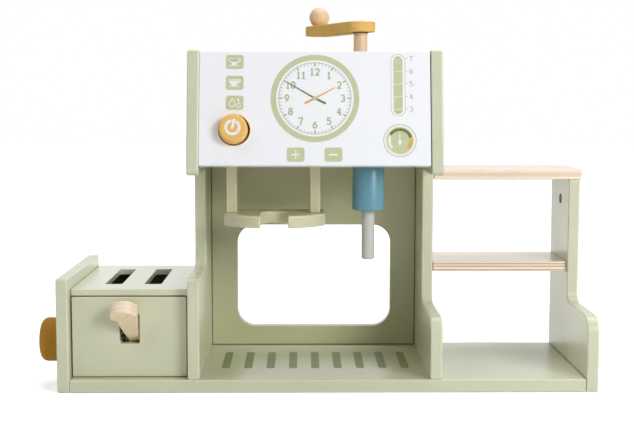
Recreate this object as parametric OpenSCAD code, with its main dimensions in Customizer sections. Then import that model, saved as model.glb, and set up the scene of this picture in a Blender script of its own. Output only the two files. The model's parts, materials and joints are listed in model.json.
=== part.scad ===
// Play coffee machine with a toaster on its left and two shelves on its right.
// Millimetres. X runs along the front, Y from front to back, Z up.
// The origin is under the middle of the base board, on the table.

/* [Body] */
// Thickness of the four upright side panels
panel_t = 10; // [8:0.5:14]
// Depth of the side panels from front to back
body_depth = 152; // [140:1:170]
// Distance of the origin behind the body's front
origin_set = 74; // [68:1:84]
// How far the side panels reach behind the base board
base_short = 3; // [0:0.5:6]
// How far the side panels reach behind the back panels
back_short = 4; // [0:0.5:8]
// Clear width of the toaster bay
toaster_bay_w = 98; // [94:1:120]
// Clear width of the coffee bay
coffee_bay_w = 191.5; // [186:0.5:220]
// Clear width of the shelf bay
shelf_bay_w = 120.5; // [80:0.5:160]
// Thickness of the base board
base_t = 11.3; // [9:0.1:14]
// Height of the two walls beside the hood
body_h = 283.8; // [270:0.1:320]
// How far the columns stand behind the feet
column_set = 79.5; // [70:0.5:84]
// Height of the toaster's end panel and of the wall foot beside it
toaster_h = 95.8; // [92:0.1:104]
// Height of the feet beside the shelf bay
foot_h = 63.4; // [50:0.1:80]
// Rounding of the feet beside the shelf bay
foot_r = 15; // [4:0.5:20]
// Rounding of the wall foot beside the toaster
toaster_foot_r = 8; // [2:0.5:12]
// Hollow rounding between a foot and its column
fillet_r = 9; // [4:0.5:14]
// Rounding of the end panels' plain corners
corner_r = 2.5; // [1:0.5:5]
// Break of the base board's lower front edge
base_ease = 1.2; // [0.4:0.1:2]

/* [Hood] */
// Backward lean of the hood's front in degrees
hood_tilt = 11.7; // [6:0.1:16]
// How far the cheeks' lower corners stand behind the front
cheek_set = 0.5; // [0:0.1:3]
// How far the cheeks reach below the top shelf's upper face
cheek_drop = 0.6; // [0:0.1:3]
// Rounding of the cheeks' lower corners
cheek_r = 5; // [2:0.5:8]
// Rounding of the cheeks' upper corners
cheek_top_r = 2.5; // [1:0.5:5]
// Thickness of the white front panel
front_panel_t = 9; // [6:0.5:12]
// How far the white panel stands back between the cheeks
front_inset = 1.5; // [1:0.5:8]
// Height of the white panel's lower edge above the cheeks' bottoms
panel_lift = 8.3; // [4:0.1:12]
// Thickness of the hood's top board
top_board_t = 9; // [6:0.5:12]
// Thickness of the hood's floor
hood_floor_t = 6; // [4:0.5:7]
// Thickness of the back panels
back_t = 9; // [6:0.5:12]

/* [Window] */
// Width of the window in the back panel
window_w = 143.5; // [120:0.5:160]
// Height of the window
window_h = 96; // [70:1:110]
// Height of the window's sill above the base board
window_lift = 18.4; // [10:0.1:30]
// Distance of the window right of the bay's middle
window_off = 0.5; // [-10:0.1:10]
// Rounding of the window's corners
window_r = 17; // [6:0.5:24]

/* [Shelves] */
// Thickness of both plywood shelves
ply_t = 9; // [6:0.5:12]
// Height of the top shelf's underside
shelf_h = 172.3; // [160:0.1:180]
// Height of the middle shelf's underside
mid_shelf_h = 89.6; // [80:0.1:110]
// How far the top shelf stands behind the columns
shelf_set = 1.2; // [0:0.1:4]
// How far the middle shelf stands behind the columns
mid_shelf_set = 3.2; // [0:0.1:8]
// Gap between the shelves and the wall beside them
shelf_gap = 0.8; // [0:0.1:0.9]
// How far the top shelf reaches over the end panel's outer face
shelf_over = 1.5; // [0:0.1:4]
// Radius of the barrel nut under the top shelf
nut_r = 4; // [3:0.5:5]
// Distance of the barrel nut below the top shelf
nut_drop = 19.5; // [14:0.5:26]
// Distance of the barrel nut behind the column's front
nut_set = 34; // [20:0.5:50]

/* [Toaster] */
// Thickness of the toaster's top board
toaster_top_t = 5.8; // [4:0.1:8]
// Distance of the top board below the end panel's top
toaster_top_drop = 10.2; // [8:0.1:14]
// How far the top board stands back from the front
toaster_top_set = 12; // [8:0.5:16]
// How far the toaster's front panel stands back
toaster_front_set = 10; // [6:0.5:12]
// Thickness of the toaster's front panel
toaster_front_t = 9; // [8:0.5:10]
// Shadow gap beside and above the toaster's front panel
crevice = 0.6; // [0.3:0.1:1]
// Width of a bread slot
slot_w = 14.5; // [12:0.5:15]
// Length of a bread slot
slot_l = 89; // [60:1:92]
// Distance between the two bread slots' middles
slot_pitch = 33.6; // [33:0.1:38]
// Distance of the bread slots behind the front
slot_front = 39.6; // [38:0.1:44]
// Rounding of the bread slots' corners
slot_r = 2.5; // [1:0.5:5]
// Distance of the bread slots left of the toaster's middle
slot_off = 0.9; // [0:0.1:2]
// Width of the slot for the lever
lever_slot_w = 16.6; // [15:0.1:19]
// Height of the slot for the lever
lever_slot_h = 25.5; // [25:0.1:30]

/* [Toast lever] */
// Thickness of the lever
lever_t = 11.6; // [9:0.1:12]
// Width of the lever's foot, at its axle
lever_foot_w = 9.8; // [8:0.1:11]
// Distance of the lever's straight right side from the slot's middle
lever_right = 7.6; // [7:0.1:7.8]
// Width of the lever's head
lever_head_w = 21.7; // [18:0.1:24]
// Length of the lever from its axle to its tip
lever_len = 46.2; // [40:0.1:52]
// Radius of the lever's curved tip
lever_tip_r = 13.8; // [12:0.1:18]
// Distance from the axle to the lower edge of the lever's head
lever_neck = 33.2; // [28:0.1:36]
// Half thickness of the lever at its axle
lever_foot_r = 4; // [3.5:0.1:4.1]
// Distance of the lever's axle behind the toaster's front panel
lever_axis_set = 5; // [4.8:0.1:5.4]
// Height of the lever's axle above the lower edge of its slot
lever_axis_up = 2.2; // [2:0.1:2.4]
// Radius of the lever's axle
axle_r = 2.5; // [2:0.1:2.6]
// Length of the lever's axle
axle_l = 56; // [50:1:64]
// Distance of each axle block's middle from the slot's middle
block_off = 24; // [20:1:26]
// Width of an axle block
block_w = 10; // [6:1:12]
// Height of an axle block
block_h = 16; // [12:1:18]
// Free play around a turning shaft, on the radius
running = 0.06; // [0.02:0.01:0.1]
// Radius of the bar that lifts the bread
lift_bar_r = 5; // [3:0.5:6]
// Height of the lift bar's middle above the base board
lift_bar_up = 9.7; // [9:0.1:14]
// Thickness of each arm that carries the lift bar
lift_arm_t = 3; // [2:0.5:3.5]
// Gap between the two arms that carry the lift bar
lift_arm_gap = 1.2; // [0.5:0.1:1.4]
// Half the height of each arm at the lever's axle
lift_arm_r = 4.5; // [4:0.1:4.6]

/* [Toaster knob] */
// Diameter of the round knob on the toaster's side
dial_d = 37.2; // [28:0.1:44]
// Thickness of the round knob
dial_t = 18.5; // [10:0.1:20]
// Rounding of the round knob's outer edge
dial_edge_r = 5; // [1:0.5:6]
// Distance of the round knob's middle behind the front
dial_y = 36; // [33:0.5:37]
// Height of the round knob's middle
dial_z = 38.6; // [36:0.1:44]
// Radius of the round knob's axle
dial_axle_r = 4; // [3:0.5:5]

/* [Filter holder] */
// Distance of the holder's middle left of the bay's middle
holder_off = 35.55; // [30:0.05:40]
// Width over the holder's two side boards
holder_w = 81; // [70:0.1:86]
// Thickness of the holder's side boards
holder_side_t = 9; // [7:0.5:10]
// Depth of the holder's side boards
holder_side_d = 35; // [30:0.5:45]
// How far the plate is wider than the side boards, on each side
plate_lip = 2.75; // [1.5:0.05:6]
// How far the plate sits right of the side boards' middle
plate_shift = 1.2; // [0:0.1:1.5]
// Thickness of the holder's plate
plate_t = 10.6; // [8:0.1:12]
// Distance of the plate's front behind the body's front
plate_front = 22.5; // [14:0.5:30]
// Length of the plate's straight sides
plate_side_l = 42; // [36:0.5:48]
// How far the plate's curved front bulges beyond its sides
plate_bulge = 24; // [16:0.5:30]
// Clear height between the plate and the hood
holder_gap = 43.8; // [36:0.1:50]
// Width of the slot for the filter's neck
neck_w = 23; // [18:0.5:28]
// Length of the neck slot from the plate's front
neck_l = 45.5; // [36:0.5:50]
// Length of the screws that hold the side boards on the plate
holder_screw_l = 24; // [20:1:36]

/* [Steam pipe] */
// Distance of the pipe right of the bay's middle
wand_off = 45.45; // [42:0.25:52]
// Distance of the pipe behind the front
wand_y = 40; // [34:0.5:50]
// Radius of the blue body
wand_r = 13.5; // [10:0.5:16]
// Length of the blue body
wand_l = 40; // [30:0.1:46]
// Radius of the grey spout
spout_r = 5.5; // [4:0.1:7]
// Length of the spout below the blue body
spout_l = 42; // [30:0.5:55]
// Length of the spout's tenon inside the blue body
tenon_l = 14; // [8:0.5:20]

/* [Power button] */
// Distance of the button left of the bay's middle
button_off = 67.25; // [60:0.05:68]
// Height of the button's middle along the white panel
button_up = 29.7; // [29:0.1:34]
// Radius of the button
button_r = 12; // [8:0.1:12.2]
// Radius of the hole around the button
button_hole_r = 13; // [12.6:0.1:13.4]
// How far the hole sits right of the button
hole_right = 0.5; // [0:0.1:0.7]
// How far the hole sits below the button
hole_down = 0.1; // [0:0.1:0.4]
// How far the button stands out of the white panel
button_proud = 9; // [8:0.5:16]
// Distance the button can be pushed
button_travel = 5; // [3:0.5:6]
// Radius of the button's stop plate behind the panel
button_flange_r = 15; // [14.6:0.1:15.4]
// Radius of the button's guide stem
button_stem_r = 4; // [3:0.5:5]

/* [Crank] */
// Distance of the crank right of the bay's middle
crank_off = 40.45; // [36:0.25:46]
// Distance of the crank behind the front
crank_y = 82; // [76:0.5:90]
// Radius of the crank's post
post_r = 6; // [5:0.5:7]
// Height of the post above the hood
post_h = 19; // [14:0.1:26]
// Thickness of the crank's arm
crank_t = 9; // [7:0.1:10]
// Half the width of the crank's arm
crank_r = 12.8; // [10:0.1:14]
// Distance from the post to the ball
crank_len = 80; // [50:1:90]
// Rest direction of the arm, in degrees from left towards the back
crank_turn = 64; // [0:1:80]
// Radius of the ball on the arm
ball_r = 9.3; // [7:0.1:11]

/* [Screws] */
// Radius of a screw's head
screw_head_r = 3.6; // [3:0.1:4]
// Radius of a screw's shank
screw_r = 1.8; // [1.5:0.1:2]
// Length of a base screw
screw_l = 30; // [20:1:40]

/* [Hidden] */
$fn = 96;
body_w = 4 * panel_t + toaster_bay_w + coffee_bay_w + shelf_bay_w;
x_end_left = -body_w / 2;
x_toaster = x_end_left + panel_t;
x_left_wall = x_toaster + toaster_bay_w;
x_coffee = x_left_wall + panel_t;
x_right_wall = x_coffee + coffee_bay_w;
x_shelf = x_right_wall + panel_t;
x_end_right = x_shelf + shelf_bay_w;
coffee_mid = x_coffee + coffee_bay_w / 2;
toaster_mid = x_toaster + toaster_bay_w / 2;
back_y = body_depth - back_short - back_t;
base_depth = body_depth - base_short;
cheek_z = shelf_h + ply_t - cheek_drop;
hood_top = body_h - 1.2;
panel_z = cheek_z + panel_lift;
panel_y = cheek_set + front_inset / cos(hood_tilt) + panel_lift * tan(hood_tilt);
panel_l = (hood_top - panel_z) / cos(hood_tilt);
hood_floor_z = panel_z + 0.2;
hood_floor_y = panel_y + front_panel_t / cos(hood_tilt)
  + (hood_floor_z + hood_floor_t - panel_z) * tan(hood_tilt);
top_board_y = panel_y + front_panel_t / cos(hood_tilt)
  + (hood_top - panel_z) * tan(hood_tilt);
toaster_top_z = toaster_h - toaster_top_drop;
toaster_under = toaster_top_z - toaster_top_t;
slot_mid = toaster_mid - slot_off;
lever_slot_z = toaster_under - crevice - lever_slot_h - 14;
lever_axis_y = toaster_front_set + toaster_front_t + lever_axis_set;
lever_axis_z = lever_slot_z + lever_axis_up;
lift_y = slot_front + slot_l / 2;
lift_z = base_t + lift_bar_up;
lift_bar_l = slot_pitch + slot_w + 12;
plate_top = hood_floor_z - holder_gap;
plate_w = holder_w + 2 * plate_lip;
plate_back = plate_front + plate_bulge + plate_side_l;
plate_arc_r = (pow(plate_w / 2, 2) + pow(plate_bulge, 2)) / (2 * plate_bulge);
holder_x = coffee_mid - holder_off;
wand_x = coffee_mid + wand_off;
wand_z = hood_floor_z - wand_l;
button_x = coffee_mid - button_off;
crank_x = coffee_mid + crank_off;
arm_z = hood_top + post_h;
flange_t = 3;
guide_l = front_panel_t + flange_t + button_travel + 8;

// The body is drawn from its front face, then set back over the origin.
module placed() {
  translate([0, -origin_set, 0]) children();
}

// A board that stands across X, from a side view drawn as Y and Z.
module side_board(x, t) {
  translate([x, 0, 0]) rotate([90, 0, 90]) linear_extrude(t) children();
}

// A board that stands across Y, from a front view drawn as X and Z.
module front_board(y, t) {
  translate([0, y + t, 0]) rotate([90, 0, 0]) linear_extrude(t) children();
}

// A rectangle with rounded corners, from its lower left corner.
module round_rect(w, h, r) {
  translate([r, 0]) square([w - 2 * r, h]);
  translate([0, r]) square([w, h - 2 * r]);
  for (x = [r, w - r], y = [r, h - r]) translate([x, y]) circle(r);
}

// The side view of a foot with its column behind it.
module foot_view(z0, top_z, foot_top, r) {
  translate([column_set, z0]) square([body_depth - column_set, top_z - z0]);
  translate([0, z0]) square([column_set + 1, foot_top - r - z0]);
  translate([r, z0]) square([column_set + 1 - r, foot_top - z0]);
  translate([r, foot_top - r]) circle(r);
  difference() {
    translate([column_set - fillet_r, foot_top - 1])
      square([fillet_r + 1, fillet_r + 1]);
    translate([column_set - fillet_r, foot_top + fillet_r])
      circle(fillet_r);
  }
}

// The side view of a cheek: the part of a wall that reaches forward.
module cheek_view() {
  low_s = cheek_r * (1 + sin(hood_tilt)) / cos(hood_tilt);
  low_y = cheek_set + low_s * sin(hood_tilt) + cheek_r * cos(hood_tilt);
  high_r = cheek_top_r;
  high_s = (body_h - cheek_z - high_r * (1 - sin(hood_tilt))) / cos(hood_tilt);
  high_y = cheek_set + high_s * sin(hood_tilt) + high_r * cos(hood_tilt);
  polygon([[column_set + 1, body_h], [high_y, body_h],
    [high_y, body_h - high_r],
    [cheek_set + high_s * sin(hood_tilt), cheek_z + high_s * cos(hood_tilt)],
    [cheek_set + low_s * sin(hood_tilt), cheek_z + low_s * cos(hood_tilt)],
    [low_y, cheek_z + cheek_r], [low_y, cheek_z],
    [column_set + 1, cheek_z]]);
  translate([low_y, cheek_z + cheek_r]) circle(cheek_r + 0.01);
  translate([high_y, body_h - high_r]) circle(high_r + 0.01);
}

// Things fixed to the leaning white panel are drawn in its own upright frame.
module on_panel() {
  translate([0, panel_y, panel_z]) rotate([-hood_tilt, 0, 0]) children();
}

// A countersunk screw that points up from its head's face.
module screw_up(l) {
  cylinder(h = screw_head_r, r1 = screw_head_r, r2 = screw_r);
  translate([0, 0, screw_head_r - 0.01]) cylinder(h = l - screw_head_r, r = screw_r);
}

module base_screw_set() {
  for (x = [x_left_wall + panel_t / 2, x_right_wall + panel_t / 2])
    for (y = [18, base_depth - 20]) translate([x, y, 0]) screw_up(screw_l);
}

module holder_screw_set() {
  for (s = [-1, 1])
    translate([holder_x + s * (holder_w - holder_side_t) / 2,
      plate_back - holder_side_d / 2, plate_top - plate_t])
        screw_up(holder_screw_l);
}

module base_board() {
  color([0.78, 0.79, 0.68]) placed() difference() {
    side_board(x_toaster, body_w - 2 * panel_t)
      polygon([[base_ease, 0], [base_depth, 0], [base_depth, base_t],
        [0, base_t], [0, base_ease]]);
    base_screw_set();
  }
}

module toaster_end_panel() {
  color([0.78, 0.79, 0.68]) placed() difference() {
    side_board(x_end_left, panel_t) round_rect(body_depth, toaster_h, corner_r);
    translate([x_end_left - 1, dial_y, dial_z]) rotate([0, 90, 0])
      cylinder(h = panel_t + 2, r = dial_axle_r + running);
  }
}

module left_wall() {
  color([0.78, 0.79, 0.68]) placed() difference() {
    side_board(x_left_wall, panel_t) union() {
      foot_view(base_t, body_h, toaster_h, toaster_foot_r);
      cheek_view();
    }
    base_screw_set();
  }
}

module right_wall() {
  color([0.78, 0.79, 0.68]) placed() difference() {
    side_board(x_right_wall, panel_t) union() {
      foot_view(base_t, body_h, foot_h, foot_r);
      cheek_view();
    }
    base_screw_set();
  }
}

module nut_shape() {
  translate([x_end_right - 0.4, column_set + nut_set, shelf_h - nut_drop])
    rotate([0, 90, 0]) cylinder(h = panel_t - 2, r = nut_r);
}

module shelf_end_panel() {
  color([0.78, 0.79, 0.68]) placed() difference() {
    side_board(x_end_right, panel_t) foot_view(0, shelf_h, foot_h, foot_r);
    nut_shape();
  }
}

module barrel_nut() {
  color([0.2, 0.2, 0.2]) placed() difference() {
    nut_shape();
    translate([x_end_right - 1, column_set + nut_set - 0.6, shelf_h - nut_drop - 2.6])
      cube([2, 1.2, 5.2]);
  }
}

module back_panel() {
  color([0.70, 0.71, 0.58]) placed() difference() {
    front_board(back_y, back_t)
      translate([x_coffee, base_t]) square([coffee_bay_w, hood_top - base_t]);
    front_board(back_y - 1, back_t + 2)
      translate([coffee_mid + window_off - window_w / 2, base_t + window_lift])
        round_rect(window_w, window_h, window_r);
  }
}

module hood_front_panel() {
  color([0.94, 0.94, 0.96]) placed() on_panel() difference() {
    translate([x_coffee, 0, 0]) cube([coffee_bay_w, front_panel_t, panel_l]);
    translate([button_x + hole_right, -1, button_up - hole_down])
      rotate([-90, 0, 0]) cylinder(h = front_panel_t + 2, r = button_hole_r);
  }
}

module hood_top_board() {
  color([0.78, 0.79, 0.68]) placed() difference() {
    translate([x_coffee, top_board_y, hood_top - top_board_t])
      cube([coffee_bay_w, back_y - top_board_y, top_board_t]);
    translate([crank_x, crank_y, hood_top - top_board_t - 1])
      cylinder(h = top_board_t + 2, r = post_r + running);
  }
}

module hood_floor() {
  color([0.88, 0.78, 0.64]) placed()
    translate([x_coffee, hood_floor_y, hood_floor_z])
      cube([coffee_bay_w, back_y - hood_floor_y, hood_floor_t]);
}

module toaster_top() {
  color([0.78, 0.79, 0.68]) placed()
    translate([0, 0, toaster_under]) linear_extrude(toaster_top_t) difference() {
      translate([x_toaster + crevice / 2, toaster_top_set])
        square([toaster_bay_w - 1.5 * crevice, body_depth - toaster_top_set]);
      for (s = [-1, 1])
        translate([slot_mid + s * slot_pitch / 2 - slot_w / 2, slot_front])
          round_rect(slot_w, slot_l, slot_r);
    }
}

module toaster_front() {
  color([0.78, 0.79, 0.68]) placed()
    front_board(toaster_front_set, toaster_front_t) difference() {
      translate([x_toaster + crevice, base_t])
        round_rect(toaster_bay_w - 2 * crevice, toaster_under - crevice - base_t, 1);
      translate([toaster_mid - lever_slot_w / 2, lever_slot_z])
        round_rect(lever_slot_w, lever_slot_h, 2);
    }
}

module toaster_back() {
  color([0.70, 0.71, 0.58]) placed()
    translate([x_toaster, back_y, base_t])
      cube([toaster_bay_w, back_t, toaster_under - base_t]);
}

// Blocks glued behind the toaster's front panel that carry the lever's axle.
module axle_blocks() {
  color([0.88, 0.78, 0.64]) placed() difference() {
    for (s = [-1, 1])
      translate([toaster_mid + s * block_off - block_w / 2,
        toaster_front_set + toaster_front_t, lever_axis_z - block_h / 2])
        cube([block_w, lever_axis_set + block_h / 2, block_h]);
    translate([toaster_mid - axle_l, lever_axis_y, lever_axis_z])
      rotate([0, 90, 0]) cylinder(h = 2 * axle_l, r = axle_r + running);
  }
}

// Face view of the lever, with its axle at the origin and its tip at the top.
module lever_view() {
  left = lever_right - lever_head_w + 0.9;
  polygon([[lever_right - lever_foot_w, -lever_foot_r - 1],
    [lever_right, -lever_foot_r - 1], [lever_right, lever_neck - 8],
    [lever_right + 0.9, lever_neck], [lever_right + 0.9, lever_neck + 3],
    [left + 5, lever_neck + 3], [left + 5, lever_neck],
    [left + 6.2, lever_neck - 7], [left + 9.4, lever_neck - 21],
    [lever_right - lever_foot_w, lever_foot_r + 1]]);
  intersection() {
    translate([left, lever_neck]) round_rect(lever_head_w, 24, 4);
    translate([left + 10.2, lever_len - lever_tip_r]) circle(lever_tip_r);
  }
}

// Side view of the lever: along it, and from its upper to its lower face.
module lever_side() {
  circle(lever_foot_r);
  polygon([[0, -lever_foot_r], [10, -lever_t / 2], [lever_len + 4, -lever_t / 2],
    [lever_len + 4, lever_t / 2], [16, lever_t / 2], [4, lever_foot_r],
    [0, lever_foot_r]]);
}

module toast_lever() {
  color([0.90, 0.80, 0.66]) placed()
    translate([toaster_mid, lever_axis_y, lever_axis_z]) rotate([135, 0, 0])
      difference() {
        intersection() {
          translate([0, 0, -lever_t / 2]) linear_extrude(lever_t) lever_view();
          side_board(-lever_head_w, 2 * lever_head_w) lever_side();
        }
        translate([-axle_l, 0, 0]) rotate([0, 90, 0])
          cylinder(h = 2 * axle_l, r = axle_r);
      }
}

module lever_axle() {
  color([0.75, 0.75, 0.74]) placed()
    translate([toaster_mid - axle_l / 2, lever_axis_y, lever_axis_z])
      rotate([0, 90, 0]) cylinder(h = axle_l, r = axle_r);
}

// The two thin arms that run back from the axle to the lift bar.
module lift_arms() {
  reach = sqrt(pow(lift_y - lever_axis_y, 2) + pow(lever_axis_z - lift_z, 2));
  fall = atan2(lever_axis_z - lift_z, lift_y - lever_axis_y);
  foot_left = toaster_mid + lever_right - lever_foot_w;
  color([0.88, 0.78, 0.64]) placed()
    for (x = [foot_left - lift_arm_t, foot_left - 2 * lift_arm_t - lift_arm_gap])
      side_board(x, lift_arm_t) difference() {
        translate([lever_axis_y, lever_axis_z]) rotate(-fall) union() {
          circle(lift_arm_r);
          translate([reach, 0]) circle(lift_bar_r + 2.5);
          translate([0, -lift_arm_r]) square([reach, 2 * lift_arm_r]);
        }
        translate([lever_axis_y, lever_axis_z]) circle(axle_r);
        translate([lift_y, lift_z]) circle(lift_bar_r);
      }
}

module lift_bar() {
  color([0.88, 0.78, 0.64]) placed()
    translate([toaster_mid - lift_bar_l / 2, lift_y, lift_z]) rotate([0, 90, 0])
      cylinder(h = lift_bar_l, r = lift_bar_r);
}

module toaster_dial() {
  r = dial_d / 2;
  color([0.87, 0.67, 0.31]) placed()
    translate([x_end_left - 0.5, dial_y, dial_z]) rotate([0, -90, 0])
      difference() {
        rotate_extrude() union() {
          square([r, dial_t - dial_edge_r]);
          square([r - dial_edge_r, dial_t]);
          translate([r - dial_edge_r, dial_t - dial_edge_r]) intersection() {
            circle(dial_edge_r);
            square(dial_edge_r);
          }
        }
        translate([0, 0, -1]) cylinder(h = dial_t - 4, r = dial_axle_r);
      }
}

module dial_axle() {
  color([0.88, 0.78, 0.64]) placed()
    translate([x_toaster + 6, dial_y, dial_z]) rotate([0, -90, 0])
      cylinder(h = panel_t + 6.5 + dial_t - 5, r = dial_axle_r);
}

module dial_keeper() {
  color([0.88, 0.78, 0.64]) placed()
    translate([x_toaster + 0.4, dial_y, dial_z]) rotate([0, 90, 0])
      difference() {
        cylinder(h = 5.6, r = 8);
        translate([0, 0, -1]) cylinder(h = 8, r = dial_axle_r);
      }
}

module shelf_top() {
  color([0.93, 0.84, 0.74]) placed()
    translate([x_shelf + shelf_gap, column_set + shelf_set, shelf_h])
      cube([shelf_bay_w + panel_t + shelf_over - shelf_gap,
        body_depth - column_set - shelf_set, ply_t]);
}

module shelf_middle() {
  color([0.93, 0.84, 0.74]) placed()
    translate([x_shelf + shelf_gap, column_set + mid_shelf_set, mid_shelf_h])
      cube([shelf_bay_w - shelf_gap, body_depth - column_set - mid_shelf_set,
        ply_t]);
}

module holder_side(x) {
  difference() {
    translate([x, plate_back - holder_side_d, plate_top])
      cube([holder_side_t, holder_side_d, holder_gap]);
    holder_screw_set();
  }
}

module holder_side_left() {
  color([0.79, 0.77, 0.64]) placed() holder_side(holder_x - holder_w / 2);
}

module holder_side_right() {
  color([0.79, 0.77, 0.64]) placed()
    holder_side(holder_x + holder_w / 2 - holder_side_t);
}

module holder_plate() {
  color([0.79, 0.77, 0.64]) placed() difference() {
    translate([holder_x + plate_shift, 0, plate_top - plate_t])
      linear_extrude(plate_t)
      difference() {
        union() {
          translate([-plate_w / 2, plate_front + plate_bulge])
            square([plate_w, plate_side_l]);
          intersection() {
            translate([0, plate_front + plate_arc_r]) circle(plate_arc_r, $fn = 180);
            translate([-plate_w / 2, plate_front - 1])
              square([plate_w, plate_bulge + 2]);
          }
        }
        translate([0, plate_front + neck_l - neck_w / 2]) circle(neck_w / 2);
        translate([-neck_w / 2, plate_front - 2])
          square([neck_w, neck_l - neck_w / 2 + 2]);
      }
    holder_screw_set();
  }
}

module holder_screws() {
  color([0.72, 0.72, 0.7]) placed() holder_screw_set();
}

module steam_pipe_body() {
  color([0.40, 0.61, 0.69]) placed() difference() {
    translate([wand_x, wand_y, wand_z]) cylinder(h = wand_l, r = wand_r);
    translate([wand_x, wand_y, wand_z - 1]) cylinder(h = tenon_l + 1, r = spout_r);
  }
}

module steam_pipe_spout() {
  color([0.75, 0.75, 0.73]) placed()
    translate([wand_x, wand_y, wand_z - spout_l]) rotate_extrude() union() {
      translate([0, 1.5]) square([spout_r, spout_l + tenon_l - 1.5]);
      square([spout_r - 1.5, 2]);
      translate([spout_r - 1.5, 1.5]) intersection() {
        circle(1.5);
        translate([0, -1.5]) square([1.5, 1.5]);
      }
    }
}

// The push button, drawn along its own axis, with its flat stop plate behind.
module power_button() {
  edge = 2;
  color([0.87, 0.67, 0.31]) placed() on_panel()
    translate([button_x, -button_proud, button_up]) rotate([-90, 0, 0])
      rotate_extrude() union() {
        square([button_r - edge, 4]);
        translate([0, edge])
          square([button_r, button_proud + front_panel_t + 1 - edge]);
        translate([button_r - edge, edge]) circle(edge);
        translate([0, button_proud + front_panel_t + 0.1])
          square([button_flange_r, flange_t]);
      }
}

module button_stem() {
  color([0.88, 0.78, 0.64]) placed() on_panel()
    translate([button_x, front_panel_t + flange_t + 0.1, button_up])
      rotate([-90, 0, 0]) cylinder(h = guide_l - front_panel_t - flange_t + 4,
        r = button_stem_r);
}

module button_guide() {
  half = button_flange_r + 3;
  color([0.88, 0.78, 0.64]) placed() on_panel() difference() {
    translate([button_x - half, front_panel_t, button_up - half])
      cube([2 * half, guide_l - front_panel_t, 2 * half]);
    translate([button_x, 0, button_up]) rotate([-90, 0, 0])
      cylinder(h = front_panel_t + flange_t + button_travel + 1.5,
        r = button_flange_r + 0.8);
    translate([button_x, 0, button_up]) rotate([-90, 0, 0])
      cylinder(h = guide_l + 1, r = button_stem_r + running);
  }
}

module crank_post() {
  color([0.88, 0.78, 0.64]) placed()
    translate([crank_x, crank_y, hood_top - top_board_t - 10]) difference() {
      cylinder(h = post_h + top_board_t + 10, r = post_r);
      translate([0, 0, post_h + top_board_t - 5]) cylinder(h = 20, r = screw_r);
    }
}

module crank_washer() {
  color([0.75, 0.75, 0.74]) placed() translate([crank_x, crank_y, hood_top])
    difference() {
      cylinder(h = 1.6, r = post_r + 4);
      translate([0, 0, -1]) cylinder(h = 4, r = post_r);
    }
}

module crank_keeper() {
  color([0.88, 0.78, 0.64]) placed()
    translate([crank_x, crank_y, hood_top - top_board_t - 8]) difference() {
      cylinder(h = 7.6, r = post_r + 5);
      translate([0, 0, -1]) cylinder(h = 10, r = post_r);
    }
}

module crank_arm() {
  color([0.80, 0.62, 0.30]) placed()
    translate([crank_x, crank_y, arm_z]) rotate([0, 0, 180 - crank_turn])
      difference() {
        linear_extrude(crank_t) union() {
          circle(crank_r);
          translate([crank_len, 0]) circle(crank_r);
          translate([0, -crank_r]) square([crank_len, 2 * crank_r]);
        }
        translate([0, 0, -1]) cylinder(h = crank_t + 2, r = screw_r);
      }
}

// The screw that holds the arm on the post; its low head shows on top.
module crank_screw() {
  color([0.75, 0.72, 0.62]) placed() translate([crank_x, crank_y, arm_z - 15]) {
    cylinder(h = 15 + crank_t, r = screw_r);
    translate([0, 0, 15 + crank_t]) cylinder(h = 1.2, r = 3.2);
  }
}

module crank_ball() {
  color([0.90, 0.80, 0.66]) placed()
    translate([crank_x, crank_y, arm_z + crank_t])
      rotate([0, 0, 180 - crank_turn]) translate([crank_len, 0, 0])
        intersection() {
          translate([0, 0, ball_r - 1]) sphere(ball_r);
          translate([-ball_r, -ball_r, 0]) cube([2 * ball_r, 2 * ball_r, 2 * ball_r]);
        }
}

module base_screws() {
  color([0.72, 0.72, 0.7]) placed() base_screw_set();
}

base_board();
toaster_end_panel();
left_wall();
right_wall();
shelf_end_panel();
back_panel();
hood_front_panel();
hood_top_board();
hood_floor();
toaster_top();
toaster_front();
toaster_back();
axle_blocks();
toast_lever();
lever_axle();
lift_arms();
lift_bar();
toaster_dial();
dial_axle();
dial_keeper();
shelf_top();
shelf_middle();
barrel_nut();
holder_side_left();
holder_side_right();
holder_plate();
holder_screws();
steam_pipe_body();
steam_pipe_spout();
power_button();
button_stem();
button_guide();
crank_post();
crank_washer();
crank_keeper();
crank_arm();
crank_screw();
crank_ball();
base_screws();
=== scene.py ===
# Looks of the play coffee machine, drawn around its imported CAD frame. Metres, except in the prints.
import bmesh
import bpy
import json
import math
from mathutils import Matrix, Vector


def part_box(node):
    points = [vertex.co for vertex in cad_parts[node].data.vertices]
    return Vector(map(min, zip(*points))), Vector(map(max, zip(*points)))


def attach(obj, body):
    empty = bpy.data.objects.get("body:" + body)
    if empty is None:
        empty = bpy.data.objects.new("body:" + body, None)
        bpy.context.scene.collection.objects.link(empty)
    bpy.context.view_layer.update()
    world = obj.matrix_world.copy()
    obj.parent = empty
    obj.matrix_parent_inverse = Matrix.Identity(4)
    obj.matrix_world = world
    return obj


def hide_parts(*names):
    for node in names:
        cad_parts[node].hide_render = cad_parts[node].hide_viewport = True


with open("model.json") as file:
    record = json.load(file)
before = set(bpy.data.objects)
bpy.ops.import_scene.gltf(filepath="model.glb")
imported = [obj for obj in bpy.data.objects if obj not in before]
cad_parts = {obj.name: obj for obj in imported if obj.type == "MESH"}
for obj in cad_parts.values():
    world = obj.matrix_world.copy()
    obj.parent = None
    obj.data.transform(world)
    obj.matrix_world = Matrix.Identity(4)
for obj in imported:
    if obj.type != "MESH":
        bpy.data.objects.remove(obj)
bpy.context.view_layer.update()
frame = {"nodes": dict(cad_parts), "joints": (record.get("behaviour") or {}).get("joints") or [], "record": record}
nodes = frame["nodes"]
bodies = frame["record"]["behaviour"]["bodies"]
body_of = {node: body for body, members in bodies.items() for node in members}
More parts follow.
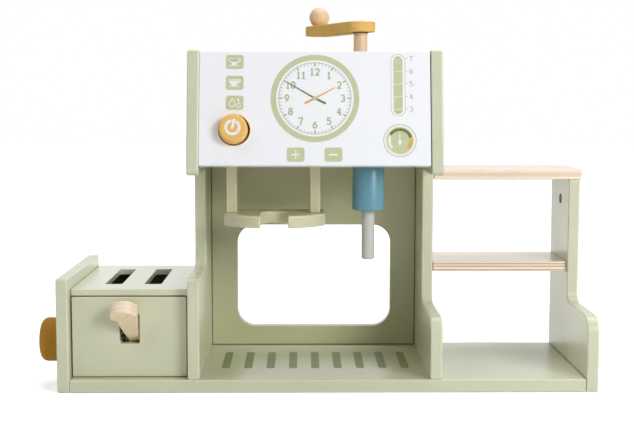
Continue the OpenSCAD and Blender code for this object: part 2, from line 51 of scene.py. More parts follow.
slot_of = {row["node"]: row["material_slot"] for row in frame["record"]["subparts"]}
joint_of = {row["name"]: row for row in frame["joints"]}
scene = bpy.context.scene
X_WAY, Y_WAY, Z_WAY = (1, 0, 0), (0, 1, 0), (0, 0, 1)


def middle(node):
    """The middle of a node's box, and its low and high corners."""
    low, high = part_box(node)
    return (low + high) / 2, low, high


def radius_of(node):
    """A round node's radius. Its facets fall a few microns short of it, so it is rounded."""
    low, high = middle(node)[1:]
    return round(max(high.x - low.x, high.y - low.y) / 2, 5)


# ---------------------------------------------------------------- materials

def rgb(r, g, b):
    """Linear colour from the 0-255 values seen on a screen."""
    out = []
    for c in (r, g, b):
        c /= 255
        out.append(c / 12.92 if c <= 0.04045 else ((c + 0.055) / 1.055) ** 2.4)
    return (*out, 1)


def times(colour, factor, plus=0.0):
    """A linear colour made darker or lighter."""
    return tuple(min(1, c * factor + plus) for c in colour[:3]) + (1,)


class Mat:
    """A node material with short helpers. Its coordinates are the object's, so they move with it."""

    def __init__(self, name, rough=0.5, spec=0.5, metal=0.0):
        self.m = bpy.data.materials.new(name)
        self.m.use_nodes = True
        self.t = self.m.node_tree
        self.out = self.t.nodes["Material Output"]
        self.p = self.t.nodes["Principled BSDF"]
        self.set(self.p, "Roughness", rough)
        self.set(self.p, "Specular IOR Level", spec)
        self.set(self.p, "Metallic", metal)
        self.coord = self.node("ShaderNodeTexCoord").outputs["Object"]

    def node(self, kind, **props):
        n = self.t.nodes.new(kind)
        for key, value in props.items():
            setattr(n, key, value)
        return n

    def put(self, socket, value):
        """Link an output to the socket, or set it to a plain value."""
        if hasattr(value, "is_linked"):
            self.t.links.new(value, socket)
        else:
            socket.default_value = value

    def set(self, n, key, value):
        self.put(n.inputs[key], value)

    def scaled(self, scale, move=(0, 0, 0)):
        n = self.node("ShaderNodeMapping")
        self.set(n, "Vector", self.coord)
        self.set(n, "Scale", scale)
        self.set(n, "Location", move)
        return n.outputs["Vector"]

    def noise(self, vector, scale, detail=3.0, rough=0.55, bend=0.0):
        n = self.node("ShaderNodeTexNoise")
        self.set(n, "Vector", vector)
        self.set(n, "Scale", scale)
        self.set(n, "Detail", detail)
        self.set(n, "Roughness", rough)
        self.set(n, "Distortion", bend)
        return n.outputs["Fac"]

    def ramp(self, fac, stops):
        """Colours or plain values at places from 0 to 1."""
        n = self.node("ShaderNodeValToRGB")
        elements = n.color_ramp.elements
        while len(elements) < len(stops):
            elements.new(0.5)
        for element, (place, value) in zip(elements, stops):
            element.position = place
            element.color = value if hasattr(value, "__len__") else (value, value, value, 1)
        self.set(n, "Fac", fac)
        return n.outputs["Color"]

    def mix(self, fac, first, second):
        n = self.node("ShaderNodeMix", data_type="RGBA")
        for key, value in (("Factor", fac), ("A", first), ("B", second)):
            self.put([s for s in n.inputs if s.name == key and s.enabled][0], value)
        return [s for s in n.outputs if s.enabled][0]

    def math(self, operation, first, second=0.0, clamp=False):
        n = self.node("ShaderNodeMath", operation=operation, use_clamp=clamp)
        self.put(n.inputs[0], first)
        self.put(n.inputs[1], second)
        return n.outputs[0]

    def along(self, vector, direction):
        """How far a vector reaches in a direction."""
        n = self.node("ShaderNodeVectorMath", operation="DOT_PRODUCT")
        self.put(n.inputs[0], vector)
        self.put(n.inputs[1], direction)
        return n.outputs["Value"]

    def bump(self, height, strength, distance):
        n = self.node("ShaderNodeBump")
        self.set(n, "Strength", strength)
        self.set(n, "Distance", distance)
        self.set(n, "Height", height)
        self.set(self.p, "Normal", n.outputs["Normal"])

    def colour(self, value):
        self.set(self.p, "Base Color", value)


# A dark colour that paints shade in joints and inside
PAINTED_SHADE = (44, 46, 34)


def painted(name, col, worn, rough=0.30, spec=0.5, tone=0.025, coat=0.3, shade=(), grain=0.0):
    """Sprayed paint on board: a fine stipple, a little unevenness and small specks of the worn colour.
    Each shade is a direction, a place along it, a reach and a strength: painted shade in a joint or inside. grain
    lets the wood's lines show through a thin coat."""
    m = Mat(name, rough, spec)
    m.set(m.p, "Coat Weight", coat)
    m.set(m.p, "Coat Roughness", 0.22)
    base = rgb(*col)
    cloud = m.noise(m.coord, 14, 3, 0.6)
    c = m.mix(m.ramp(cloud, [(0.35, 0), (0.65, 1)]), times(base, 1 - tone), times(base, 1 + tone))
    speck = m.noise(m.coord, 420, 2, 0.6)
    c = m.mix(m.ramp(speck, [(0.62, 0), (0.80, 0.12)]), c, rgb(*worn))
    if grain:
        lines = m.noise(m.scaled((60, 60, 900)), 1.0, 4, 0.6, 0.3)
        c = m.mix(m.ramp(lines, [(0.45, 0), (0.62, grain)]), c, times(base, 0.62))
    # Each entry paints shade near a place along a direction
    for way, place, reach, strength in shade:
        off = m.math("ABSOLUTE", m.math("SUBTRACT", m.along(m.coord, way), place))
        near = m.math("SUBTRACT", 1.0, m.math("DIVIDE", off, reach), clamp=True)
        c = m.mix(m.math("MULTIPLY", near, strength), c, rgb(*PAINTED_SHADE))
    m.colour(c)
    m.set(m.p, "Roughness", m.ramp(m.noise(m.coord, 25, 2), [(0.3, rough), (0.7, rough + 0.04)]))
    m.bump(m.noise(m.coord, 950, 2, 0.5), 0.015, 0.0002)
    return m.m


def rubbed(name, col, bare, rough=0.28, spec=0.5):
    """The eased edge of a painted board: paint thinned and rubbed through in spots."""
    m = Mat(name, rough, spec)
    base = rgb(*col)
    wear = m.noise(m.coord, 75, 5, 0.7, 0.4)
    spots = m.noise(m.coord, 420, 3, 0.65)
    c = m.mix(m.ramp(wear, [(0.42, 0), (0.62, 1)]), base, times(base, 1.06, 0.008))
    through = m.math("MULTIPLY", m.ramp(wear, [(0.66, 0), (0.72, 0.45)]),
                     m.ramp(spots, [(0.55, 0), (0.65, 1)]))
    m.colour(m.mix(through, c, rgb(*bare)))
    m.bump(spots, 0.12, 0.0003)
    return m.m


BIRCH_FACE = ((226, 202, 176), (236, 216, 194), (243, 227, 208))
BIRCH_EDGE = ((250, 236, 217), (234, 212, 186))
GLUE = (146, 104, 70)


def plywood(name, grain, origin, up, thick=0.009, lines=(0.19, 0.50, 0.81), show=1.0,
            face=BIRCH_FACE, edge=BIRCH_EDGE):
    """Lacquered birch plywood: long grain on the faces, stacked plies with thin glue lines on the cut
    edges. grain is the axis of the grain, origin a point of the lower face, up the way through the
    board, lines the places of the glue lines through it and show how dark they are."""
    m = Mat(name, 0.30, 0.5)
    m.set(m.p, "Coat Weight", 0.6)
    m.set(m.p, "Coat Roughness", 0.2)
    coarse = [150.0, 150.0, 150.0]
    coarse[grain] = 9.0
    long_grain = m.noise(m.scaled(coarse), 1.0, 6, 0.62, 0.9)
    fine = [620.0, 620.0, 620.0]
    fine[grain] = 26.0
    pores = m.noise(m.scaled(fine, (3, 1, 2)), 1.0, 3, 0.6)
    flat = m.ramp(long_grain, [(0.32, rgb(*face[0])), (0.50, rgb(*face[1])), (0.68, rgb(*face[2]))])
    flat = m.mix(m.ramp(pores, [(0.58, 0), (0.72, 0.28)]), flat, times(rgb(*face[0]), 0.80))
    height = m.math("SUBTRACT", m.along(m.coord, up), sum(a * b for a, b in zip(origin, up)))
    waver = m.math("MULTIPLY", m.math("SUBTRACT", m.noise(m.coord, 45, 2), 0.5), 0.00035)
    height = m.math("DIVIDE", m.math("ADD", height, waver), thick)
    light, low = rgb(*edge[0]), rgb(*edge[1])
    line = tuple(show * a + (1 - show) * b for a, b in zip(rgb(*GLUE), low))[:3] + (1,)
    stops, tones = [(0.0, low)], [low, light]
    for k, place in enumerate(lines):
        before, after = tones[k % 2], tones[(k + 1) % 2]
        stops += [(place - 0.04, before), (place - 0.015, line),
                  (place + 0.015, line), (place + 0.04, after)]
    plies = m.ramp(height, stops)
    streak = m.noise(m.scaled([v * 2.5 for v in coarse], (1, 4, 2)), 1.0, 4, 0.6)
    plies = m.mix(m.ramp(streak, [(0.48, 0), (0.64, 0.45)]), plies, low)
    end_grain = m.noise(m.coord, 1400, 2, 0.6)
    plies = m.mix(m.ramp(end_grain, [(0.52, 0), (0.70, 0.2)]), plies, rgb(176, 138, 102))
    normal = m.node("ShaderNodeNewGeometry").outputs["Normal"]
    cut = m.ramp(m.math("ABSOLUTE", m.along(normal, up)), [(0.55, 1), (0.70, 0)])
    m.colour(m.mix(cut, flat, plies))
    m.bump(long_grain, 0.2, 0.0003)
    return m.m


def beech(name):
    """Turned beech: straight upright grain with short dark flecks."""
    m = Mat(name, 0.45, 0.4)
    grain = m.noise(m.scaled((190, 190, 16)), 1.0, 5, 0.6, 0.3)
    fleck = m.noise(m.scaled((900, 900, 190), (5, 7, 1)), 1.0, 2, 0.5)
    c = m.ramp(grain, [(0.3, rgb(222, 188, 152)), (0.52, rgb(236, 207, 175)), (0.75, rgb(242, 216, 186))])
    m.colour(m.mix(m.ramp(fleck, [(0.60, 0), (0.72, 0.38)]), c, rgb(188, 142, 104)))
    m.bump(grain, 0.2, 0.0003)
    return m.m


def steel(name, low=(168, 166, 160), high=(206, 204, 198)):
    """Brushed zinc plate with small scratches."""
    m = Mat(name, 0.34, 0.5, 1.0)
    scratch = m.noise(m.scaled((700, 60, 700)), 1.0, 4, 0.6)
    m.colour(m.ramp(scratch, [(0.3, rgb(*low)), (0.7, rgb(*high))]))
    m.set(m.p, "Roughness", m.ramp(scratch, [(0.3, 0.28), (0.7, 0.46)]))
    m.bump(scratch, 0.1, 0.0002)
    return m.m


def speckled(name, rough, spec, low, high, fleck, grit, strength):
    """A plain rough stuff of two close colours, with a fine grit."""
    m = Mat(name, rough, spec)
    m.colour(m.ramp(m.noise(m.coord, fleck, 3), [low, high]))
    m.bump(m.noise(m.coord, grit, 2), strength, 0.0002)
    return m.m


def ink(name, col):
    """Screen-printed ink: nearly even, with pinholes and a faint grit."""
    m = Mat(name, 0.5, 0.35)
    base = rgb(*col)
    cloud = m.noise(m.coord, 160, 3)
    c = m.mix(m.ramp(cloud, [(0.35, 0), (0.65, 1)]), times(base, 0.95), base)
    holes = m.noise(m.coord, 1900, 1)
    m.colour(m.mix(m.ramp(holes, [(0.70, 0), (0.76, 0.25)]), c, rgb(238, 238, 236)))
    m.bump(m.noise(m.coord, 1500, 1), 0.1, 0.0001)
    return m.m


# Paint colours, each with the colour of its worn specks. BOARD is the bare wood under them
SAGE = (206, 209, 181), (224, 226, 205)
INNER = (188, 190, 152), (210, 211, 180)
WHITE = (246, 249, 255), (240, 240, 244)
CREAM = (204, 201, 164), (222, 220, 196)
MUSTARD = (242, 197, 116), (248, 212, 140)
# The dial's mustard, made darker to paint the shade it stands in
DIAL_IN_SHADE = (190, 139, 52), (206, 158, 76)
BLUE = (88, 143, 161), (140, 186, 200)
GREY = (192, 192, 186), (212, 212, 206)
# A dark brown that paints the shade inside the toaster on hidden pieces
SHADE_BROWN = (66, 58, 42), (84, 74, 54)
BOARD = (196, 164, 124)
MATT = {"rough": 0.75, "spec": 0.12}

# The material of each slot, and of its eased edges where they have their own
M = {
    "painted_sage": painted("sage_paint", *SAGE),
    "painted_cream": painted("cream_paint", *CREAM),
    "painted_mustard": painted("mustard_paint", *MUSTARD, tone=0.04, coat=0.0, grain=0.22, **MATT),
    "painted_blue": painted("blue_paint", *BLUE, rough=0.32),
    "painted_grey": painted("grey_paint", *GREY, rough=0.32),
    "plywood": plywood("shelf_plywood", 0, middle("shelf_top")[1], Z_WAY, lines=(0.05, 0.34, 0.66),
                       show=0.16),
    "beech": beech("beech"),
    "steel": steel("zinc_steel"),
    "cam_plastic": speckled("dark_plastic", 0.45, 0.4, (0.3, rgb(38, 36, 32)), (0.7, rgb(58, 55, 50)),
                            300, 1200, 0.2),
}
EDGE = {
    "painted_sage": rubbed("sage_edge", (214, 216, 190), BOARD),
    "painted_cream": rubbed("cream_edge", (214, 211, 184), BOARD),
    "painted_mustard": rubbed("mustard_edge", (240, 196, 116), BOARD, **MATT),
}

# Boards with a look of their own
PLY_MIDDLE = plywood("middle_plywood", 0, middle("shelf_middle")[1], Z_WAY,
                     face=((246, 226, 200), (252, 235, 212), (255, 242, 224)))
PLY_FLOOR = plywood("floor_plywood", 0, middle("hood_floor")[1], Z_WAY, 0.006)

# The lever leans forward by 45 degrees over its axle, and its plies are stacked square to that
LEVER_THICK = 0.0116
LEVER_AXLE = Vector(joint_of["lever_press"]["pos_m"])
LEVER_WAY = Vector((0, math.sqrt(0.5), math.sqrt(0.5)))
PLY_LEVER = plywood("lever_plywood", 2, LEVER_AXLE - LEVER_WAY * LEVER_THICK / 2, LEVER_WAY,
                    LEVER_THICK, (0.10, 0.28, 0.46, 0.64, 0.82), 0.14,
                    face=((240, 216, 178), (246, 225, 188), (250, 233, 200)),
                    edge=((246, 230, 208), (241, 220, 197)))
# The lift arms' plywood is made dark, painted shade for the inside of the slot
ARM_THICK = 0.003
PLY_ARMS_SHADED = plywood("arm_plywood_shaded", 1, middle("lift_arms")[2] - Vector(X_WAY) * ARM_THICK, X_WAY,
                   ARM_THICK, (0.33, 0.66), 0.5,
                   face=((50, 40, 28), (60, 48, 34), (70, 57, 42)), edge=((72, 58, 42), (52, 42, 30)))
TOP_PAINT = painted("top_paint", *SAGE, rough=0.28, spec=0.6, coat=0.85)
# The dial's paint is a darker copy of the mustard, with painted shade
DIAL_SHADED_PAINT = painted("dial_shaded_paint", *DIAL_IN_SHADE, rough=0.6, spec=0.12, coat=0.0, grain=0.15)
# Dark steel and board that paint the shade seen through the lever slot
STEEL_PAINTED_SHADE = steel("steel_painted_shade", (42, 40, 37), (62, 60, 56))
BOARD_PAINTED_SHADE = painted("board_painted_shade", *SHADE_BROWN, rough=0.8, spec=0.2, tone=0.12, coat=0.0)
FIBRE = speckled("fibre_washer", 0.7, 0.2, (0.35, rgb(96, 74, 44)), (0.65, rgb(122, 96, 58)),
                 900, 1400, 0.3)

INK_SAGE = ink("ink_sage", (201, 206, 167))
INK_FINE = ink("ink_fine", (188, 193, 166))
INK_DIGIT = ink("ink_digit", (180, 187, 153))
INK_CAP = ink("ink_cap", (184, 190, 158))
INK_GREEN = ink("ink_dark_green", (101, 118, 64))
INK_ORANGE = ink("ink_orange", (228, 170, 70))
INK_WHITE = ink("ink_white", (246, 246, 244))
INK_CREAM = ink("ink_cream", (240, 239, 218))
INK_DOT = ink("ink_dot", (196, 204, 172))
INK_DRIP = ink("ink_drip", (140, 151, 106))


# ---------------------------------------------------------------- mesh tools

def add(name, me, body, mat, smooth=True, replaces=(), edge_mat=None):
    """Put a mesh in the scene as a piece that rides on a body. edge_mat is for its eased edges."""
    ob = bpy.data.objects.new(name, me)
    scene.collection.objects.link(ob)
    me.materials.clear()
    me.materials.append(mat)
    if edge_mat:
        me.materials.append(edge_mat)
    for face in me.polygons:
        face.use_smooth = smooth
    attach(ob, body)
    if replaces:
        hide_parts(*replaces)
    return ob


def soften(ob, width, segments, edge_index):
    """Ease the edges sharper than 30 degrees."""
    ease = ob.modifiers.new("ease", "BEVEL")
    ease.width = width
    ease.segments = segments
    ease.limit_method = "ANGLE"
    ease.angle_limit = math.radians(30)
    ease.use_clamp_overlap = False
    ease.material = edge_index
    ease.harden_normals = True


FLAT_ANGLE, STRAIGHT_ANGLE = 0.01, 0.001
WELD, SAME_CUT, ON_CUT = 2e-6, 1e-4, 5e-6


def is_flat(edge):
    """Whether the two faces beside an edge lie in one plane."""
    faces = edge.link_faces
    return len(faces) == 2 and faces[0].normal.angle(faces[1].normal, math.pi) < FLAT_ANGLE


def flat_region(start):
    """All faces that lie in one plane with the first and hang together with it. They are kept in the
    order they are found in, which a set of faces would change from run to run."""
    region, todo = {start: True}, [start]
    while todo:
        for edge in todo.pop().edges:
            if is_flat(edge):
                for face in edge.link_faces:
                    if face not in region:
                        region[face] = True
                        todo.append(face)
    return list(region)


def rim_loops(region):
    """The closed loops of points round a flat region: its outline, and one for each hole."""
    rim = {}
    for face in region:
        for edge in face.edges:
            if not is_flat(edge):
                for v in edge.verts:
                    rim.setdefault(v, []).append(edge.other_vert(v))
    loops = []
    while rim:
        loop, todo = [], [next(iter(rim))]
        while todo:
            v = todo.pop()
            if v in rim:
                loop.append(v.co)
                todo += rim.pop(v)
        loops.append(loop)
    return loops


def split_at_holes(bm):
    """Cut the mesh through the middle of each hole in a flat face, then join what is left flat
    into whole faces, so that no face has a hole and no seam ends at a corner."""
    def span(loop, k):
        return max(c[k] for c in loop) - min(c[k] for c in loop)

    seen, cuts = set(), []
    for start in list(bm.faces):
        if start.index in seen:
            continue
        region = flat_region(start)
        seen |= {face.index for face in region}
        loops = rim_loops(region)
        if len(loops) > 1:
            outer = max(loops, key=lambda loop: sum(span(loop, k) for k in range(3)))
            axis = max((k for k in range(3) if abs(start.normal[k]) < 0.1), key=lambda k: span(outer, k))
            for loop in loops:
                if loop is not outer:
                    middle_of = (max(c[axis] for c in loop) + min(c[axis] for c in loop)) / 2
                    if all(abs(middle_of - place) > SAME_CUT or axis != k for k, place in cuts):
                        cuts.append((axis, middle_of))
    for axis, place in cuts:
        way = Vector([float(k == axis) for k in range(3)])
        bmesh.ops.bisect_plane(bm, geom=bm.verts[:] + bm.edges[:] + bm.faces[:], dist=1e-6,
                               plane_co=way * place, plane_no=way)

    def on_cut(edge):
        return any(all(abs(v.co[k] - place) < ON_CUT for v in edge.verts) for k, place in cuts)

    def is_straight(v):
        """Whether a point lies in the middle of a straight line of two edges."""
        if len(v.link_edges) != 2:
            return False
        before, after = (edge.other_vert(v).co for edge in v.link_edges)
        return (before - v.co).angle(v.co - after, math.pi) < STRAIGHT_ANGLE

    joined = [edge for edge in bm.edges if is_flat(edge) and not on_cut(edge)]
    bmesh.ops.dissolve_edges(bm, edges=joined, use_verts=True)
    bmesh.ops.dissolve_verts(bm, verts=[v for v in bm.verts if is_straight(v)])


def dress(node, mat=None, ease=0.0010, segments=3):
    """The CAD node's own shape with its sharp edges eased, shown in the node's place."""
    slot = slot_of[node]
    me = nodes[node].data.copy()
    for key in ("custom_normal", "sharp_face", "sharp_edge"):
        if key in me.attributes:
            me.attributes.remove(me.attributes[key])
    bm = bmesh.new()
    bm.from_mesh(me)
    bmesh.ops.remove_doubles(bm, verts=bm.verts, dist=WELD)
    bmesh.ops.recalc_face_normals(bm, faces=bm.faces)
    bm.faces.index_update()
    split_at_holes(bm)
    bmesh.ops.recalc_face_normals(bm, faces=bm.faces)
    bm.to_mesh(me)
    bm.free()
    edge_mat = EDGE.get(slot) if mat is None else None
    ob = add(node + "_dressed", me, body_of[node], mat or M[slot], True, (node,), edge_mat)
    soften(ob, ease, segments, 1 if edge_mat else -1)
    return ob


def shy(ob, left=0.0, right=0.0, low=0.0):
    """Set a board's ends back a little, for the open joint round it."""
    points = [v.co for v in ob.data.vertices]
    left_end, right_end = min(v.x for v in points), max(v.x for v in points)
    foot = min(v.z for v in points)
    near = 0.0015
    for v in ob.data.vertices:
        v.co.x += left * (v.co.x < left_end + near) - right * (v.co.x > right_end - near)
        v.co.z += low * (v.co.z < foot + near)


def lathe(profile, segments=96):
    """A closed turned solid about Z from (radius, height) points that start and end on the axis."""
    bm = bmesh.new()
    rings = []
    for r, h in profile:
        if r < 1e-9:
            rings.append([bm.verts.new((0, 0, h))])
        else:
            rings.append([bm.verts.new((r * math.cos(2 * math.pi * k / segments),
                                        r * math.sin(2 * math.pi * k / segments), h))
                          for k in range(segments)])
    for one, two in zip(rings, rings[1:]):
        for k in range(segments):
            n = (k + 1) % segments
            if len(one) == 1:
                bm.faces.new((one[0], two[k], two[n]))
            elif len(two) == 1:
                bm.faces.new((one[k], two[0], one[n]))
            else:
                bm.faces.new((one[k], two[k], two[n], one[n]))
    bmesh.ops.recalc_face_normals(bm, faces=bm.faces)
    me = bpy.data.meshes.new("lathe")
    bm.to_mesh(me)
    bm.free()
    return me


def arc(cx, cy, r, a0, a1, n=8):
    """Points of an arc, in degrees."""
    return [(cx + r * math.cos(math.radians(a0 + (a1 - a0) * k / n)),
             cy + r * math.sin(math.radians(a0 + (a1 - a0) * k / n))) for k in range(n + 1)]


def turned(node, profile, place, turn=None, mat=None, segments=96):
    """A turned piece that stands for its CAD node. place is the foot of its axis, turn its direction."""
    me = lathe(profile, segments)
    stand = Matrix.Translation(place)
    if turn is not None:
        stand = stand @ Vector((0, 0, 1)).rotation_difference(Vector(turn)).to_matrix().to_4x4()
    me.transform(stand)
    slot = slot_of[node]
    ob = add(node + "_turned", me, body_of[node], mat or M[slot], True, (node,))
    ob.modifiers.new("normals", "WEIGHTED_NORMAL").weight = 60


# ---------------------------------------------------------------- boards

for name in ("toaster_end_panel", "left_wall", "right_wall", "shelf_end_panel"):
    dress(name, ease=0.0014, segments=4)
for name in ("hood_top_board", "holder_side_left", "holder_side_right", "crank_arm"):
    dress(name)
shy(dress("base_board"), right=0.0005)
dress("toaster_top", TOP_PAINT)

# The back panel has shade painted along its joints at its sides and foot
low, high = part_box("back_panel")
JOINT_SHADES = ((X_WAY, low.x, 0.0012, 0.9), (X_WAY, high.x, 0.0012, 0.9), (Z_WAY, low.z, 0.0016, 0.9))
dress("back_panel", painted("back_paint", *INNER, shade=JOINT_SHADES))

# The toaster's back has shade painted on its inner face
low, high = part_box("toaster_back")
dress("toaster_back", painted("inside_painted_shade", *SAGE, shade=((Y_WAY, low.y, 0.004, 0.97),)))

shy(dress("toaster_front", ease=0.0007), left=0.0006, right=0.0009, low=0.0006)
dress("holder_plate", ease=0.0014)

# The white front has an open joint at its right end, with shade painted along its edge there
low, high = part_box("hood_front_panel")
JOINT_SHADE = (X_WAY, high.x - 0.0004, 0.0006, 0.95)
FRONT_PAINT = painted("front_paint", *WHITE, tone=0.008, shade=(JOINT_SHADE,))
shy(dress("hood_front_panel", FRONT_PAINT, ease=0.0007), right=0.0004)

dress("shelf_top", ease=0.0006)
dress("shelf_middle", PLY_MIDDLE, ease=0.0006)
dress("hood_floor", PLY_FLOOR, ease=0.0005)
dress("toast_lever", PLY_LEVER, ease=0.0007)
dress("lift_arms", PLY_ARMS_SHADED, ease=0.0003, segments=2)

# Small and hidden nodes keep their CAD shape
for name in ("axle_blocks", "lift_bar", "dial_axle", "dial_keeper", "button_stem", "button_guide",
             "crank_keeper", "lever_axle", "crank_washer", "holder_screws", "base_screws"):
    materials = nodes[name].data.materials
    materials.clear()
    # The lever axle and the axle blocks get dark materials that paint the shade inside the slot
    materials.append({"lever_axle": STEEL_PAINTED_SHADE, "axle_blocks": BOARD_PAINTED_SHADE}.get(name, M[slot_of[name]]))

# ---------------------------------------------------------------- turned pieces

POST_R, POST_CHAMFER = radius_of("crank_post"), 0.0008
mid, low, high = middle("crank_post")
turned("crank_post", [(0, low.z), (POST_R - POST_CHAMFER, low.z), (POST_R, low.z + POST_CHAMFER),
                      (POST_R, high.z), (0, high.z)], (mid.x, mid.y, 0))

# The ball stands on a small flat. BALL_HIGH is its middle's height over that
mid, low, high = middle("crank_ball")
BALL_R = radius_of("crank_ball")
BALL_HIGH = high.z - low.z - BALL_R
FOOT_R = math.sqrt(BALL_R ** 2 - BALL_HIGH ** 2)
ball = [(0, low.z), (FOOT_R, low.z)]
ball += arc(0, low.z + BALL_HIGH, BALL_R, -math.degrees(math.asin(BALL_HIGH / BALL_R)), 90, 40)
ball[-1] = (0, ball[-1][1])
turned("crank_ball", ball, (mid.x, mid.y, 0))

# The blue body has a recess that the grey spout comes out of
PIPE_R, PIPE_EASE = radius_of("steam_pipe_body"), 0.0012
RECESS_R, RECESS_DEEP, MOUTH = 0.0056, 0.002, 0.0004
mid, low, high = middle("steam_pipe_body")
turned("steam_pipe_body", [(0, low.z + RECESS_DEEP), (RECESS_R, low.z + RECESS_DEEP),
                           (RECESS_R, low.z + MOUTH), (RECESS_R + MOUTH, low.z)]
       + arc(PIPE_R - PIPE_EASE, low.z + PIPE_EASE, PIPE_EASE, -90, 0, 6) + [(PIPE_R, high.z), (0, high.z)],
       (mid.x, mid.y, 0))
SPOUT_R, SPOUT_EASE = radius_of("steam_pipe_spout"), 0.0015
mid, low, high = middle("steam_pipe_spout")
turned("steam_pipe_spout", [(0, low.z), (SPOUT_R - SPOUT_EASE, low.z)]
       + arc(SPOUT_R - SPOUT_EASE, low.z + SPOUT_EASE, SPOUT_EASE, -90, 0, 8)[1:]
       + [(SPOUT_R, high.z), (0, high.z)], (mid.x, mid.y, 0))

DIAL_R, DIAL_EASE, DIAL_BACK = radius_of("toaster_dial"), 0.0056, 0.001
mid, low, high = middle("toaster_dial")
DIAL_THICK = high.x - low.x
turned("toaster_dial", [(0, 0), (DIAL_R - DIAL_BACK, 0)]
       + arc(DIAL_R - DIAL_BACK, DIAL_BACK, DIAL_BACK, -90, 0, 4)[1:]
       + arc(DIAL_R - DIAL_EASE, DIAL_THICK - DIAL_EASE, DIAL_EASE, 0, 90, 14) + [(0, DIAL_THICK)],
       (high.x, mid.y, mid.z), (-1, 0, 0), DIAL_SHADED_PAINT, 128)

# The white front leans back, square to the button's push. What lies on it is measured along it from
# the height of the cheeks' lower edge, a little under its foot
FRONT_THICK, CHEEK_DROP = 0.009, 0.0009
OUT = -Vector(joint_of["button_push"]["axis"])
UP = Vector((0, OUT.z, -OUT.y))
low, high = middle("hood_front_panel")[1:]
PANEL_ZERO = Vector((0, low.y, low.z + FRONT_THICK * OUT.z)) - UP * (CHEEK_DROP / UP.z)


def on_panel(x, t, h=0.0):
    """A point of the leaning white panel: x across, t up along it, h out of it."""
    return PANEL_ZERO + Vector((x, 0, 0)) + UP * t + OUT * h


BUTTON_X, BUTTON_T, BUTTON_PROUD = -0.0786, 0.03062, 0.009
BUTTON_R, BUTTON_EASE = 0.0118, 0.0024
FLANGE_R, FLANGE_BACK, FLANGE_FACE = radius_of("power_button"), -0.0121, -0.0091
turned("power_button", [(0, FLANGE_BACK), (FLANGE_R, FLANGE_BACK), (FLANGE_R, FLANGE_FACE),
                        (BUTTON_R, FLANGE_FACE)]
       + arc(BUTTON_R - BUTTON_EASE, BUTTON_PROUD - BUTTON_EASE, BUTTON_EASE, 0, 84, 10)
       + [(0, BUTTON_PROUD)], on_panel(BUTTON_X, BUTTON_T), OUT, segments=128)

SCREW_R, RIM, RIM_R, DOME_R = 0.0018, 0.0005, radius_of("crank_screw"), 0.0062
mid, low, high = middle("crank_screw")
RIM_TOP = high.z - 0.0007
turned("crank_screw", [(0, low.z), (SCREW_R, low.z), (SCREW_R, RIM_TOP - RIM), (RIM_R, RIM_TOP - RIM),
                       (RIM_R, RIM_TOP)] + arc(0, high.z - DOME_R, DOME_R, 58, 90, 8)[1:-1] + [(0, high.z)],
       (mid.x, mid.y, 0), segments=48)

dress("barrel_nut", M["cam_plastic"], ease=0.0003, segments=2)

# A thin fibre washer between the post and the arm
mid, low, high = middle("crank_post")
FIBRE_R, FIBRE_CHAMFER, FIBRE_THICK = 0.0069, 0.0002, 0.0009
FIBRE_TOP = high.z - 0.00005
me = lathe([(0, FIBRE_TOP - FIBRE_THICK), (FIBRE_R - FIBRE_CHAMFER, FIBRE_TOP - FIBRE_THICK),
            (FIBRE_R, FIBRE_TOP - FIBRE_THICK + FIBRE_CHAMFER), (FIBRE_R, FIBRE_TOP), (0, FIBRE_TOP)], 64)
me.transform(Matrix.Translation((mid.x, mid.y, 0)))
add("crank_fibre_washer", me, "crank", FIBRE, smooth=False)


# ---------------------------------------------------------------- prints, in millimetres

